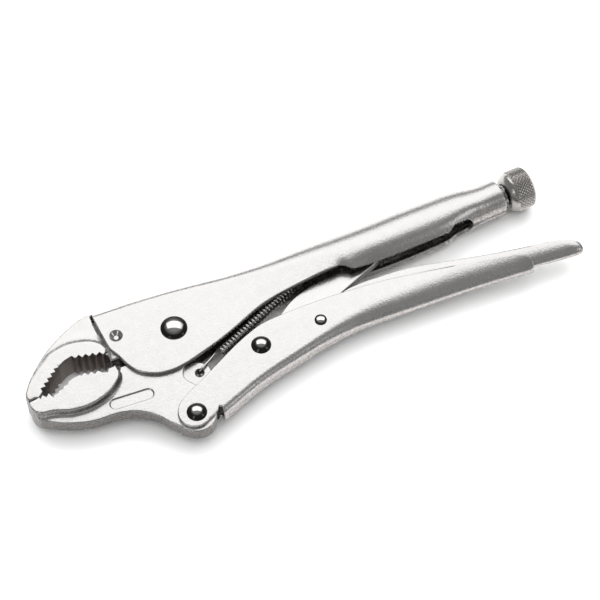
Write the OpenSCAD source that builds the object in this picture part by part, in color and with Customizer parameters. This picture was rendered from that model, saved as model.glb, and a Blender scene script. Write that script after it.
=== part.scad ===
// Locking pliers with curved jaws, 10 inch class, lying on one side with the jaws locked shut.
// Lengths are in millimetres. Inside each module X runs from the main pivot towards the knob,
// Y runs towards the upper handle and Z is the pliers' thickness, with 0 on the middle plane.
// in_frame() then moves everything so that the origin is under the middle of the whole tool.

/* [Upper handle] */
// Thickness of the upper handle's sheet
upper_sheet = 2; // [1.8:0.1:2]
// Width across the two cheeks at the jaw end
cheek_width = 11; // [11:0.1:11.4]
// Distance of the adjusting screw's axis from the main pivot
screw_axis_y = 1.9; // [1.7:0.1:2.1]
// Radius of the shallow round relief at the rear end of the slot
notch_r = 11; // [9:0.5:12]

/* [Jaws] */
// Thickness of the forged plates that sit between the handles' walls
web_thickness = 6.8; // [6.4:0.1:6.8]
// Thickness of the toothed jaw heads
head_thickness = 14; // [12:0.5:14]
// Thickness of the upper jaw where it meets the cheeks
shoulder_thickness = 9.6; // [9:0.2:11]
// Thickness of the tab that holds the return spring
tab_thickness = 4; // [3.6:0.2:4.2]
// Depth of the teeth
tooth_depth = 1.5; // [1:0.1:1.6]
// Radius of the lower jaw's disc around the main pivot
disc_r = 13; // [12:0.5:13]
// Radius of the lower jaw's boss around the lower handle's pivot
boss_r = 8.6; // [8:0.1:8.8]
// Depth of the blank oval recess on each side of the lower jaw
recess_depth = 0.6; // [0.4:0.1:0.8]

/* [Lower handle and release lever] */
// Thickness of the lower handle's sheet
lower_sheet = 1.5; // [1.3:0.1:1.5]
// Width across the lower handle
lower_width = 10.2; // [10.2:0.1:10.4]
// Thickness of the release lever's sheet
lever_sheet = 1.2; // [1:0.1:1.2]
// Width across the release lever
lever_width = 7; // [6.8:0.1:7]

/* [Toggle link] */
// Thickness of the link's bar
link_thickness = 4.2; // [4:0.1:4.2]
// Radius of the link's eye at the lower handle
link_eye_r = 6.3; // [6:0.1:6.6]
// Radius of the nose that pushes on the adjusting screw
link_nose_r = 3.6; // [3.4:0.1:3.8]

/* [Rivets] */
// Shank radius of the main pivot rivet
main_shank_r = 4; // [3.5:0.1:4.5]
// Head radius of the main pivot rivet
main_head_r = 5.95; // [5.5:0.05:6.5]
// Shank radius of the two lower handle rivets
small_shank_r = 2.9; // [2.5:0.1:3.2]
// Head radius of the two lower handle rivets
small_head_r = 4.4; // [4:0.1:5]
// Shank radius of the release lever's rivet
release_shank_r = 1.7; // [1.5:0.1:2]
// Head radius of the release lever's rivet
release_head_r = 2.8; // [2.6:0.1:3.2]
// Radius of the staked pin that holds the upper jaw
staked_pin_r = 3; // [2.5:0.1:3.2]
// Radial running clearance of the pivots
running_clearance = 0.05; // [0.02:0.01:0.1]

/* [Adjusting screw and knob] */
// Outer radius of the adjusting screw
screw_r = 4.9; // [4.5:0.1:5]
// Radius of the screw's plain end inside the knob
spigot_r = 4; // [3.5:0.1:4.2]
// Outer radius of the knurled knob
knob_r = 9.7; // [9:0.1:9.7]
// Length of the knurled knob
knob_length = 12.5; // [11:0.5:14]
// Gap between the link's nose and the screw, left by opening the linkage there
nose_gap = 3.2; // [3:0.1:4]

/* [Return spring] */
// Wire diameter of the return spring
wire_d = 1.1; // [0.8:0.1:1.2]
// Mean radius of the spring's coils
coil_r = 2.3; // [2:0.1:2.4]
// Number of turns
coil_turns = 28; // [20:1:32]

/* [Hidden] */
$fn = 64;

// Pivot centres in the plane of the pliers
jaw_lever_pivot = [-8.2, -42.2];
link_pivot = [30.6, -24.2];
release_pivot = [59.5, -24.1];
staked_pin_at = [-24.3, 7.5];
nose_centre = [110.4, 1.9];

// Extremes of the whole tool, which set its origin
jaw_tip_x = -71.2;
lever_tail_x = 183.6;
handle_top_y = 23.6;
boss_bottom_y = jaw_lever_pivot[1] - boss_r;

// Half thicknesses
cheek_half = cheek_width / 2;
web_half = web_thickness / 2;
head_half = head_thickness / 2;
lower_half = lower_width / 2;
lever_half = lever_width / 2;

// Screw and knob positions along X
screw_tip_x = nose_centre[0] + link_nose_r + nose_gap;
tube_end_x = 163;
knob_start_x = 166.2;

// Steps along each half of a shell's section, from the lip to the belly and on to the crest
lip_steps = 4;
crest_steps = 6;
// Larger than any thickness, for cuts that go right through
through = 40;

module in_frame() {
    translate([-(jaw_tip_x + lever_tail_x) / 2, -(handle_top_y + boss_bottom_y) / 2, knob_r])
        children();
}

// ---- Stamped shells -------------------------------------------------------------------
// A shell is a sheet folded into a channel that is open towards -Y. Each station is
// [x, crest y, belly y, half width, corner radius across Z, lip y, half gap at the lips].
// The wall runs from the lip to the belly, where it is widest, and then over the crest.

lip_angle = 64;

function half_section(s) = concat(
    [for (i = [0:lip_steps])
        let (a = lip_angle * (1 - i / lip_steps))
        [s[2] + (s[5] - s[2]) * sin(a) / sin(lip_angle),
         s[3] - (s[3] - s[6]) * (1 - cos(a)) / (1 - cos(lip_angle))]],
    [for (j = [1:crest_steps])
        let (a = 90 * j / crest_steps)
        [s[2] + (s[1] - s[2]) * sin(a), s[3] - s[4] + s[4] * cos(a)]]);

function full_section(s) =
    let (h = half_section(s), n = len(h))
    concat(h, [for (i = [n - 1:-1:0]) [h[i][0], -h[i][1]]]);

// The section's inner line, one sheet thickness inside the outer one
function inner_section(c, sheet) = [for (i = [0:len(c) - 1])
    let (d = c[min(i + 1, len(c) - 1)] - c[max(i - 1, 0)])
    c[i] + sheet * [d[1], -d[0]] / norm(d)];

// One closed ring of points round the folded sheet
function shell_ring(s, sheet) =
    let (outer = full_section(s), inner = inner_section(outer, sheet), n = len(outer))
    concat([for (i = [0:n - 1]) [s[0], outer[i][0], outer[i][1]]],
           [for (i = [n - 1:-1:0]) [s[0], inner[i][0], inner[i][1]]]);

module folded_shell(stations, sheet) {
    n = 2 * (lip_steps + 1 + crest_steps);
    ring = 2 * n;
    last = (len(stations) - 1) * ring;
    points = [for (s = stations) each shell_ring(s, sheet)];
    walls = [for (k = [0:len(stations) - 2], i = [0:ring - 1])
        let (a = k * ring + i, b = k * ring + (i + 1) % ring)
        each [[a, b, b + ring], [a, b + ring, a + ring]]];
    front = [for (i = [0:n - 2])
        each [[i, ring - 2 - i, i + 1], [i, ring - 1 - i, ring - 2 - i]]];
    back = [for (i = [0:n - 2])
        each [[last + i, last + i + 1, last + ring - 2 - i],
              [last + i, last + ring - 2 - i, last + ring - 1 - i]]];
    polyhedron(points = points, faces = concat(walls, front, back), convexity = 8);
}

// A flat plate centred on the middle plane, from a 2D outline
module plate(thickness) {
    linear_extrude(height = thickness, center = true) children();
}

// A through hole or a shank along Z
module along_z(at, r, length = through) {
    translate([at[0], at[1], 0]) cylinder(r = r, h = length, center = true);
}

// A domed head that sits on a plate at height z, drawn for the near side
module dome_head(at, r, height, z) {
    sphere_r = (r * r + height * height) / (2 * height);
    translate([at[0], at[1], z]) rotate_extrude() intersection() {
        translate([0, height - sphere_r]) circle(r = sphere_r);
        square([r, height]);
    }
}

module rivet(at, shank_r, head_r, head_height, half_grip) {
    along_z(at, shank_r, 2 * half_grip);
    for (side = [0, 1]) mirror([0, 0, side]) dome_head(at, head_r, head_height, half_grip);
}

// ---- Upper handle ---------------------------------------------------------------------

upper_stations = [
    [-30, 23.6, 19.6, cheek_half, 4.6, 12, cheek_half],
    [-29.3, 23.5, 19.5, cheek_half, 4.6, 2.6, cheek_half],
    [-27.4, 23.4, 19.4, cheek_half, 4.6, -2, cheek_half],
    [-25.2, 23.2, 19.2, cheek_half, 4.6, -8.6, cheek_half],
    [-23, 23, 19, cheek_half, 4.6, -12.4, cheek_half],
    [-19.5, 22.8, 18.8, cheek_half, 4.6, -15.4, cheek_half],
    [-15, 22.5, 18.5, cheek_half, 4.6, -17.7, cheek_half],
    [-9, 22, 18, cheek_half, 4.7, -18.8, cheek_half],
    [-2, 21.3, 17.3, cheek_half, 4.7, -18.3, cheek_half],
    [6, 20.4, 16.2, cheek_half, 4.8, -16.5, cheek_half],
    [14, 19.3, 14.9, cheek_half, 4.8, -14.5, cheek_half],
    [22, 18.1, 13.4, cheek_half, 4.9, -12, cheek_half],
    [30, 16.9, 12, cheek_half, 5, -9.1, cheek_half],
    [38, 16, 10.5, 5.7, 5.2, -6.4, 5.7],
    [46, 15.4, 9, 6.1, 5.6, -4.9, 6.1],
    [54, 15.1, 7.5, 6.6, 6.1, -4.2, 6.6],
    [62, 15, 6.1, 7.2, 6.7, -3.8, 7.1],
    [70, 14.8, 4.8, 7.9, 7.4, -3.5, 7.7],
    [76, 14.6, 4, 8.3, 7.8, -3.6, 7.9],
    [80, 14.4, 3.5, 8.5, 8, -4, 7.2],
    [81.5, 14.3, 3.3, 8.6, 8.1, -5, 6.8],
    [83, 14.2, 3.1, 8.7, 8.2, -6.8, 6.3],
    [86, 14.1, 2.8, 8.9, 8.4, -7.4, 5.7],
    [92, 13.9, 2.3, 9.1, 8.6, -7.8, 5],
    [100, 13.7, 1.9, 9.4, 8.9, -8.2, 5],
    [112, 13.7, 1.9, 9.6, 9.1, -8.4, 5],
    [124, 13.4, 1.9, 9.6, 9.1, -8.3, 5],
    [134, 13.1, 1.9, 9.5, 9, -8, 4.7],
    [140, 12.8, 1.9, 9.4, 8.9, -7.6, 3.4],
    [145, 12.3, 1.9, 9.1, 8.6, -7.1, 1.2],
    [149, 11.4, 1.9, 8.7, 8.2, -6.7, 0.3],
    [153, 10.4, 1.9, 8.4, 7.9, -6.5, 0.3],
    [tube_end_x, 10.3, 1.9, 8.35, 7.85, -6.45, 0.3]];
notch_at = [140, -16.5];

module upper_handle() {
    color("gainsboro") in_frame() difference() {
        folded_shell(upper_stations, upper_sheet);
        along_z([0, 0], main_shank_r);
        along_z(staked_pin_at, staked_pin_r);
        along_z(notch_at, notch_r);
    }
}

// ---- Jaws -----------------------------------------------------------------------------

// Saw teeth along the line from a to b; lean moves each point along its own tooth
function teeth(a, b, count, depth, lean) =
    let (step = (b - a) / count, across = depth * [step[1], -step[0]] / norm(step))
    [for (i = [0:count - 1]) each [a + i * step, a + (i + lean) * step + across]];

// Toothed edge of the upper jaw, from the back of the mouth to the tip
upper_grip = concat(
    [[-31, 0]],
    teeth([-31.4, 1.3], [-45.8, 5.6], 5, -tooth_depth, 0.5),
    [[-45.8, 5.6], [-49.5, 4.9], [-52.8, 3.4]],
    teeth([-53, 4.6], [-66, -5], 6, -tooth_depth, 0.35),
    [[-66, -7]]);

// Toothed edge of the lower jaw, from the tip to the back of the mouth
lower_grip = concat(
    [[-66, -7.2]],
    teeth([-65.9, -8.2], [-60.5, -8.8], 2, -tooth_depth, 0.5),
    teeth([-60.5, -10], [-50, -5.6], 4, -tooth_depth / 2, 0.3),
    [[-49.5, -4.8], [-46, -4.6]],
    teeth([-45.8, -5.4], [-37.4, -7.8], 3, -tooth_depth, 0.5),
    [[-37, -7.7], [-34.8, -8.6], [-34, -7.2], [-31.4, -7.2], [-30.8, -6.6]]);

// Rear edge of the upper jaw's tang, clear of the lower jaw's disc
tang_r = disc_r + 0.4;
tang_rear = [for (a = [191:-8:127]) tang_r * [cos(a), sin(a)]];

module upper_head_outline() {
    polygon(concat(upper_grip, [
        [-71, -7.3], [-71.2, -4.6], [-70.4, -2.4], [-68.4, -0.2], [-63.3, 4.5], [-58.1, 8],
        [-53.8, 10.7], [-50.1, 11.6], [-46.3, 12], [-42.3, 11.5], [-37.7, 10.1],
        [-34.6, 8.4], [-32.3, 6], [-31, 2.7]]));
}

module upper_shoulder_outline() {
    polygon([[-70.4, -2.4], [-66.5, 2.8], [-62, 7.4], [-57, 11.8], [-52.2, 15.2],
             [-46.3, 18.4], [-40.5, 21], [-35, 22.7], [-30.6, 23.3], [-30.6, 3], [-34, 6],
             [-46, 10], [-56, 6]]);
}

module upper_tang_outline() {
    polygon(concat([[-34, 6], [-31, -2.6]], tang_rear, [[-9, 18.2], [-31, 19.3], [-34, 15]]));
}

module upper_jaw() {
    color("lightgray") in_frame() difference() {
        union() {
            plate(head_thickness) upper_head_outline();
            plate(shoulder_thickness) upper_shoulder_outline();
            plate(web_thickness) upper_tang_outline();
        }
        along_z(staked_pin_at, staked_pin_r);
    }
}

module lower_head_outline() {
    polygon(concat([[-71, -7.5]], lower_grip, [
        [-30.5, -8.2], [-30.5, -10.4], [-31.2, -12.3], [-33.8, -14.9], [-37.6, -17.4],
        [-43.1, -19.3], [-48, -19.9], [-52.4, -19.6], [-56.6, -18.7], [-60.5, -17],
        [-64.4, -15.6], [-68, -14.9], [-70.3, -13], [-71.2, -10]]));
}

module lower_web_outline() {
    polygon([[-70.3, -13], [-69.6, -15.8], [-66.4, -18.1], [-62.4, -20.8], [-56.7, -23.6],
             [-50.8, -25.7], [-46.5, -26.5], [-41.9, -26.8], [-37.5, -27.4], [-33.4, -28.6],
             [-29.5, -30.5], [-26, -33.1], [-22.8, -36.6], [-20.1, -40.8], [-17, -46],
             [-13.5, -49], [-2, -48], [0, -40], [-2.4, -29.3], [-4.9, -25.3],
             [-5.6, -22.8], [-4.2, -19.6], [6, -11.5], [-9, -6.6], [-28.6, -6.6], [-30, -9],
             [-34, -12.5], [-46, -16], [-60, -13]]);
    circle(r = disc_r);
    translate(jaw_lever_pivot) circle(r = boss_r);
}

module tab_outline() {
    polygon([[-7, -16], [0, -17], [3.4, -18.6], [5.6, -20.6], [6.4, -23], [5.6, -30], [0, -41],
             [-8, -40]]);
}

spring_hole_at = [1.4, -23.6];
spring_hole_r = 1.9;

// Blank oval recess between two end centres
module recess(side) {
    mirror([0, 0, side]) translate([0, 0, web_half - recess_depth])
        linear_extrude(height = 2 * recess_depth) {
            translate([-37.4, -22.5]) circle(r = 2.8);
            translate([-23, -24]) circle(r = 2.8);
            polygon([[-37.1, -19.72], [-22.7, -21.22], [-23.3, -26.78], [-37.7, -25.28]]);
        }
}

module lower_jaw() {
    color("lightgray") in_frame() difference() {
        union() {
            plate(head_thickness) lower_head_outline();
            plate(web_thickness) lower_web_outline();
            plate(tab_thickness) tab_outline();
        }
        along_z([0, 0], main_shank_r + running_clearance);
        along_z(jaw_lever_pivot, small_shank_r + running_clearance);
        along_z(spring_hole_at, spring_hole_r);
        for (side = [0, 1]) recess(side);
    }
}

// ---- Lower handle and release lever ---------------------------------------------------
// These channels open towards +Y, so their stations are given upside down and mirrored.

// Each row is [x, crest, lip, height of the fold, width of the fold], measured below the pivot;
// the lever's rows end with its half width.
function lower_station(p) =
    [p[0], p[1], p[1] - p[3], lower_half, p[4], p[2], lower_half];
lower_profile = [
    [2.5, 47.6, 27.6, 3.6, 3.4], [10, 45.1, 24.1, 3.6, 3.4], [16, 43.1, 21.3, 3.6, 3.4],
    [22, 41.2, 18.7, 3.6, 3.5], [28, 39.7, 16.5, 3.6, 3.6], [34, 38.5, 14.7, 3.7, 3.7],
    [43, 37, 14, 3.9, 3.8], [54, 35, 14.1, 4.4, 3.9], [64, 33.8, 14.6, 5.4, 4.1],
    [74, 33.3, 15.4, 6.8, 4.4], [84, 33.7, 16.5, 8, 4.6], [94, 34.4, 17.9, 8.6, 4.7],
    [104, 35.1, 19.9, 9.8, 4.9], [114, 35.8, 22, 10.3, 5], [124, 36.5, 24.4, 10.5, 5],
    [134, 37.5, 26.8, 10.1, 5], [144, 38.6, 29.3, 8.8, 5], [151, 39.5, 31.2, 7.8, 5],
    [154.5, 40, 32.3, 7.2, 5], [157, 40.3, 34.4, 5.4, 5], [158.4, 40.1, 36, 3.7, 5]];

module ear_outline() {
    polygon([[3, -27.4], [-0.8, -29.1], [-6.6, -31.4], [-10.9, -33.7], [-13.6, -35.6],
             [-15.4, -38], [-10, -42], [-4.4, -47.9], [1.4, -44.8], [3, -44.3]]);
    translate([-9, -41.6]) circle(r = 7.2);
}

module lower_handle() {
    color("gainsboro") in_frame() difference() {
        union() {
            mirror([0, 1, 0])
                folded_shell([for (p = lower_profile) lower_station(p)], lower_sheet);
            for (side = [0, 1]) mirror([0, 0, side])
                translate([0, 0, lower_half - lower_sheet])
                    linear_extrude(height = lower_sheet) ear_outline();
        }
        along_z(jaw_lever_pivot, small_shank_r);
        along_z(link_pivot, small_shank_r);
        along_z(release_pivot, release_shank_r);
    }
}

function lever_station(p) = [p[0], p[1], p[1] - p[3], p[5], p[4], p[2], p[5]];
lever_profile = [
    [64, 32, 19.2, 3.8, 2.7, lever_half], [69, 31.7, 16.6, 4.3, 2.8, lever_half],
    [76, 31.5, 14.3, 5.2, 3, lever_half], [84, 31.9, 13.8, 6.3, 3.1, lever_half],
    [93, 32.5, 14.4, 6.8, 3.2, lever_half], [103, 33.2, 15.4, 8, 3.3, lever_half],
    [112, 33.8, 17.1, 8.5, 3.4, lever_half], [121, 34.5, 19.5, 8.7, 3.4, lever_half],
    [130, 35.2, 21.9, 8.6, 3.4, lever_half], [139, 36.2, 24.3, 8.1, 3.4, lever_half],
    [148, 37.2, 26.5, 7.4, 3.4, lever_half], [157, 38.1, 28.6, 7.1, 3.4, lever_half],
    [166, 39.3, 30.3, 6.8, 3.4, lever_half], [175, 40.7, 32.3, 6.5, 3.4, lever_half],
    [179, 41.2, 33.8, 6, 3.3, 3.4], [181.5, 41.3, 35.2, 4.4, 2.9, 3],
    [183, 41, 36.6, 3.4, 2.3, 2.4], [lever_tail_x, 40.5, 37.6, 2.4, 1.8, 1.9]];

module lever_ear_outline() {
    polygon([[59.5, -19.5], [64.5, -18.9], [64.5, -28.5], [63, -28.4], [57, -27.4]]);
    translate(release_pivot) circle(r = 4.6);
}

module release_lever() {
    color("silver") in_frame() difference() {
        union() {
            mirror([0, 1, 0])
                folded_shell([for (p = lever_profile) lever_station(p)], lever_sheet);
            for (side = [0, 1]) mirror([0, 0, side])
                translate([0, 0, lever_half - lever_sheet])
                    linear_extrude(height = lever_sheet) lever_ear_outline();
        }
        along_z(release_pivot, release_shank_r + running_clearance);
    }
}

// ---- Toggle link ----------------------------------------------------------------------

module toggle_link() {
    color("silver") in_frame() difference() {
        union() {
            plate(link_thickness) {
                polygon([[29.6, -18], [44, -13], [53, -7.8], [64, -4.4], [109.6, 5.4],
                         [111.6, -1.5], [95, -6.8], [75.6, -13.7], [58, -20.6],
                         [33, -30]]);
                translate(nose_centre) circle(r = link_nose_r);
            }
            along_z(link_pivot, link_eye_r, web_thickness);
        }
        along_z(link_pivot, small_shank_r + running_clearance);
    }
}

// ---- Rivets and pin -------------------------------------------------------------------

module main_pivot_rivet() {
    color("white") in_frame() rivet([0, 0], main_shank_r, main_head_r, 2.3, cheek_half);
}

module jaw_lever_rivet() {
    color("white") in_frame()
        rivet(jaw_lever_pivot, small_shank_r, small_head_r, 2.3, lower_half);
}

module link_rivet() {
    color("white") in_frame() rivet(link_pivot, small_shank_r, small_head_r, 2.3, lower_half);
}

module release_rivet() {
    color("white") in_frame()
        rivet(release_pivot, release_shank_r, release_head_r, 1, lower_half);
}

// The pin's ends are spread by a conical punch mark
module upper_jaw_pin() {
    punch_depth = 2.6;
    color("silver") in_frame() difference() {
        along_z(staked_pin_at, staked_pin_r, 2 * cheek_half);
        for (side = [0, 1]) mirror([0, 0, side])
            translate([staked_pin_at[0], staked_pin_at[1], cheek_half - punch_depth])
                cylinder(r1 = 0, r2 = staked_pin_r - 0.3, h = punch_depth + 0.001);
    }
}

// ---- Adjusting screw, knob and bushing --------------------------------------------------

// Turns a profile [radius, x] about the screw's axis
module on_screw_axis() {
    translate([0, screw_axis_y, 0]) rotate([0, 90, 0]) rotate_extrude() children();
}

module adjusting_screw() {
    spigot_end = knob_start_x + knob_length - 2;
    color("darkgray") in_frame() on_screw_axis()
        polygon([[0, screw_tip_x], [screw_r - 1, screw_tip_x], [screw_r, screw_tip_x + 1],
                 [screw_r, knob_start_x], [spigot_r, knob_start_x], [spigot_r, spigot_end],
                 [0, spigot_end]]);
}

module knurled_knob() {
    start = knob_start_x + 0.05;
    end = knob_start_x + knob_length;
    bore_r = spigot_r + running_clearance;
    color("dimgray") in_frame() on_screw_axis()
        polygon([[bore_r, start + 1], [bore_r + 1.4, start], [knob_r - 1.8, start],
                 [knob_r, start + 1.6], [knob_r, end - 1.6], [knob_r - 1.8, end], [0, end],
                 [0, end - 1.9], [bore_r, end - 1.9]]);
}

// Threaded bushing held inside the handle's round end
module thread_bushing() {
    color("darkgray") in_frame() on_screw_axis()
        polygon([[screw_r + running_clearance, 150.5], [6.3, 150.5], [6.3, tube_end_x - 0.6],
                 [screw_r + running_clearance, tube_end_x - 0.6]]);
}

// ---- Return spring ----------------------------------------------------------------------

// Tongue under the handle's roof that the spring's rear hook holds on to
anchor_x = 67;
module spring_anchor() {
    color("silver") in_frame() difference() {
        translate([anchor_x - 0.8, 1, -2.6]) cube([1.6, 11.9, 5.2]);
        translate([anchor_x, 3.8, 0]) rotate([0, 90, 0]) cylinder(r = 1.3, h = 4, center = true);
    }
}

coil_start = [14.5, -17.2, 0];
coil_end = [61, 1.6, 0];
coil_axis = (coil_end - coil_start) / norm(coil_end - coil_start);
coil_side = [-coil_axis[1], coil_axis[0], 0];
ring_sides = 6;
turn_steps = 10;

function coil_point(u) =
    coil_start + u * (coil_end - coil_start)
    + coil_r * (cos(360 * coil_turns * u) * coil_side + sin(360 * coil_turns * u) * [0, 0, 1]);

// Wire centre line: front hook, coil, rear hook
wire_path = concat(
    [[2, -23.4, -2.6], [1.8, -23.2, 0], [2.2, -22.8, 2.7], [5, -21.4, 2.9], [9, -19, 2],
     [12.2, -16.6, 0.6]],
    [for (i = [0:coil_turns * turn_steps]) coil_point(i / (coil_turns * turn_steps))],
    [[62.4, 3.6, 0], [65, 3.6, 0], [67, 3.8, 0], [69, 3.2, 0.4], [69.4, 1.8, 0.6]]);

function path_tangent(i) =
    let (d = wire_path[min(i + 1, len(wire_path) - 1)] - wire_path[max(i - 1, 0)]) d / norm(d);
function across(r, t) = let (v = r - t * (r * t)) v / norm(v);

module return_spring() {
    count = len(wire_path);
    sides = [for (i = 0, r = across([0, 0, 1], path_tangent(0)); i < count;
                  i = i + 1, r = across(r, path_tangent(min(i, count - 1)))) r];
    points = [for (i = [0:count - 1], k = [0:ring_sides - 1])
        let (a = 360 * k / ring_sides, up = cross(path_tangent(i), sides[i]))
        wire_path[i] + wire_d / 2 * (cos(a) * sides[i] + sin(a) * up)];
    walls = [for (i = [0:count - 2], k = [0:ring_sides - 1])
        let (a = i * ring_sides + k, b = i * ring_sides + (k + 1) % ring_sides)
        each [[a, a + ring_sides, b + ring_sides], [a, b + ring_sides, b]]];
    first = [[for (k = [0:ring_sides - 1]) k]];
    last = [[for (k = [ring_sides - 1:-1:0]) (count - 1) * ring_sides + k]];
    color("dimgray") in_frame()
        polyhedron(points = points, faces = concat(walls, first, last), convexity = 20);
}

upper_handle();
upper_jaw();
upper_jaw_pin();
main_pivot_rivet();
lower_jaw();
lower_handle();
jaw_lever_rivet();
link_rivet();
release_rivet();
toggle_link();
release_lever();
adjusting_screw();
knurled_knob();
thread_bushing();
spring_anchor();
return_spring();
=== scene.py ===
"""Locking pliers in bright satin plate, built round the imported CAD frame.

Lengths in the tables below are millimetres in the pliers' own frame: X from the main pivot
towards the knob, Y towards the upper handle, Z the thickness with 0 on the middle plane.
place() turns them into metres in the shared frame.
"""

import math

import bmesh
import bpy
import numpy as np
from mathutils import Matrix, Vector
from mathutils.geometry import delaunay_2d_cdt


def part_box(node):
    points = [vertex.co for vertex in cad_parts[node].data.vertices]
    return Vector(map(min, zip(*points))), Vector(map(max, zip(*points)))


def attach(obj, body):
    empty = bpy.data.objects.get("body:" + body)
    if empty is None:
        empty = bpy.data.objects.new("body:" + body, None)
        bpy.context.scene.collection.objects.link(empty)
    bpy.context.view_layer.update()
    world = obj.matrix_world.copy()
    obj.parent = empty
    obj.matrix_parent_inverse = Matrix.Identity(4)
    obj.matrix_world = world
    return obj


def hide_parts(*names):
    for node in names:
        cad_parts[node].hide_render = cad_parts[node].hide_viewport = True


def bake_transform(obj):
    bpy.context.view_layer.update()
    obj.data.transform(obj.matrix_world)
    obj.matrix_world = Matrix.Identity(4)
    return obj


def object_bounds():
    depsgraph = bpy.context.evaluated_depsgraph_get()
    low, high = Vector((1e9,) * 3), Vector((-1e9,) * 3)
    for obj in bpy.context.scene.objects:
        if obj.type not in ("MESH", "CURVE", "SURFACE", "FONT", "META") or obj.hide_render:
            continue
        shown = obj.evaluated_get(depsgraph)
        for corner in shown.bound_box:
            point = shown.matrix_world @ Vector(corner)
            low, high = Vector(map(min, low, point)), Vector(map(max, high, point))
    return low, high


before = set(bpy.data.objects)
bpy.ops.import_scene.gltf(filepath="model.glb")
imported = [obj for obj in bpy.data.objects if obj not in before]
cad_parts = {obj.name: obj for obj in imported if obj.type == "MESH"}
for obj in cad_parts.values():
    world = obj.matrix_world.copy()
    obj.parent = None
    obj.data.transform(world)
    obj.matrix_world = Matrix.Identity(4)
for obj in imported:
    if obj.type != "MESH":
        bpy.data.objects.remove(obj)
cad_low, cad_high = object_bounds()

MM = 0.001
pivot_low, pivot_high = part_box("main_pivot_rivet")
PIVOT = np.array((pivot_low + pivot_high) / 2)


def place(points):
    """Millimetres from the main pivot, as metres in the shared frame."""
    return np.asarray(points, float) * MM + PIVOT


def centre(node):
    """[x, y] of the middle of a CAD node, to a hundredth of a millimetre."""
    low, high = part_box(node)
    return np.round((np.array((low + high) / 2) - PIVOT)[:2] / MM, 2)


JAW_LEVER_AT, LINK_AT = centre("jaw_lever_rivet"), centre("link_rivet")
RELEASE_AT, PIN_AT = centre("release_rivet"), centre("upper_jaw_pin")


# ---- Curves and outlines ------------------------------------------------------------------


def unit(v):
    """The vectors along the last axis, at length 1."""
    return v / np.maximum(np.linalg.norm(v, axis=-1, keepdims=True), 1e-12)


def hermite(xs, ys, x):
    """A smooth curve through the points (xs, ys), read at x."""
    slope = np.gradient(ys, xs)
    i = np.clip(np.searchsorted(xs, x) - 1, 0, len(xs) - 2)
    h = xs[i + 1] - xs[i]
    t = (x - xs[i]) / h
    near = (1 + 2 * t) * (1 - t) ** 2 * ys[i] + t * (1 - t) ** 2 * h * slope[i]
    far = t * t * (3 - 2 * t) * ys[i + 1] - t * t * (1 - t) * h * slope[i + 1]
    return near + far


def column(table, k, x, blur=3.0):
    """Column k of a station table as an even curve of x, its small unevenness blurred out."""
    step = 0.5
    fine = np.arange(table[0, 0], table[-1, 0] + step, step)
    y = hermite(table[:, 0], table[:, k], fine)
    reach = int(3 * blur / step)
    n = np.arange(1, reach + 1)
    left = y[0] - (y[1] - y[0]) * n[::-1]
    right = y[-1] + (y[-1] - y[-2]) * n
    weights = np.exp(-((np.arange(-reach, reach + 1) * step / blur) ** 2) / 2)
    y = np.convolve(np.concatenate([left, y, right]), weights / weights.sum(), "valid")
    return np.interp(x, fine, y)


def smooth_line(points, step=0.8):
    """An open line that runs smoothly through the points, with a point every step."""
    p = np.asarray(points, float)
    p = np.vstack([2 * p[0] - p[1], p, 2 * p[-1] - p[-2]])
    out = [p[1]]
    for a, b, c, d in zip(p, p[1:], p[2:], p[3:]):
        t1 = np.linalg.norm(b - a) ** 0.5
        t2 = t1 + np.linalg.norm(c - b) ** 0.5
        t3 = t2 + np.linalg.norm(d - c) ** 0.5
        count = max(1, round(np.linalg.norm(c - b) / step))
        for t in np.linspace(t1, t2, count + 1)[1:]:
            ab = a * (t1 - t) / t1 + b * t / t1
            bc = b * (t2 - t) / (t2 - t1) + c * (t - t1) / (t2 - t1)
            cd = c * (t3 - t) / (t3 - t2) + d * (t - t2) / (t3 - t2)
            abc = ab * (t2 - t) / t2 + bc * t / t2
            bcd = bc * (t3 - t) / (t3 - t1) + cd * (t - t1) / (t3 - t1)
            out.append(abc * (t2 - t) / (t2 - t1) + bcd * (t - t1) / (t2 - t1))
    return np.array(out)


def even(points, count):
    """count points, evenly spaced along an open line."""
    p = np.asarray(points, float)
    s = np.concatenate([[0], np.cumsum(np.linalg.norm(np.diff(p, axis=0), axis=1))])
    at = np.linspace(0, s[-1], count)
    return np.stack([np.interp(at, s, p[:, k]) for k in range(p.shape[1])], axis=1)


def arc(middle, r, start, end, count):
    """Points along an arc, from the angle start to the angle end in degrees."""
    a = np.radians(np.linspace(start, end, count))
    return np.stack([middle[0] + r * np.cos(a), middle[1] + r * np.sin(a)], axis=1)


def circle(middle, r, count):
    """A closed outline of that many points."""
    return arc(middle, r, 0, 360, count + 1)[:-1]


def closed(points, step=1.0):
    """A closed outline with its long edges divided."""
    out = []
    for a, b in zip(points, np.roll(points, -1, axis=0)):
        n = max(1, math.ceil(np.linalg.norm(b - a) / step))
        out += [a + (b - a) * i / n for i in range(n)]
    return np.array(out)


def outward(loop):
    """Mitred outward directions at the corners of an anticlockwise outline."""
    before = unit(loop - np.roll(loop, 1, axis=0))
    after = unit(np.roll(loop, -1, axis=0) - loop)
    n1 = np.stack([before[:, 1], -before[:, 0]], axis=1)
    n2 = np.stack([after[:, 1], -after[:, 0]], axis=1)
    middle = unit(n1 + n2)
    return middle / np.clip((middle * n1).sum(1), 0.5, 1)[:, None]


def beside(line, offset):
    """An open line moved sideways, to its right."""
    direction = unit(np.gradient(line, axis=0))
    return line + offset * np.stack([direction[:, 1], -direction[:, 0]], axis=1)


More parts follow.
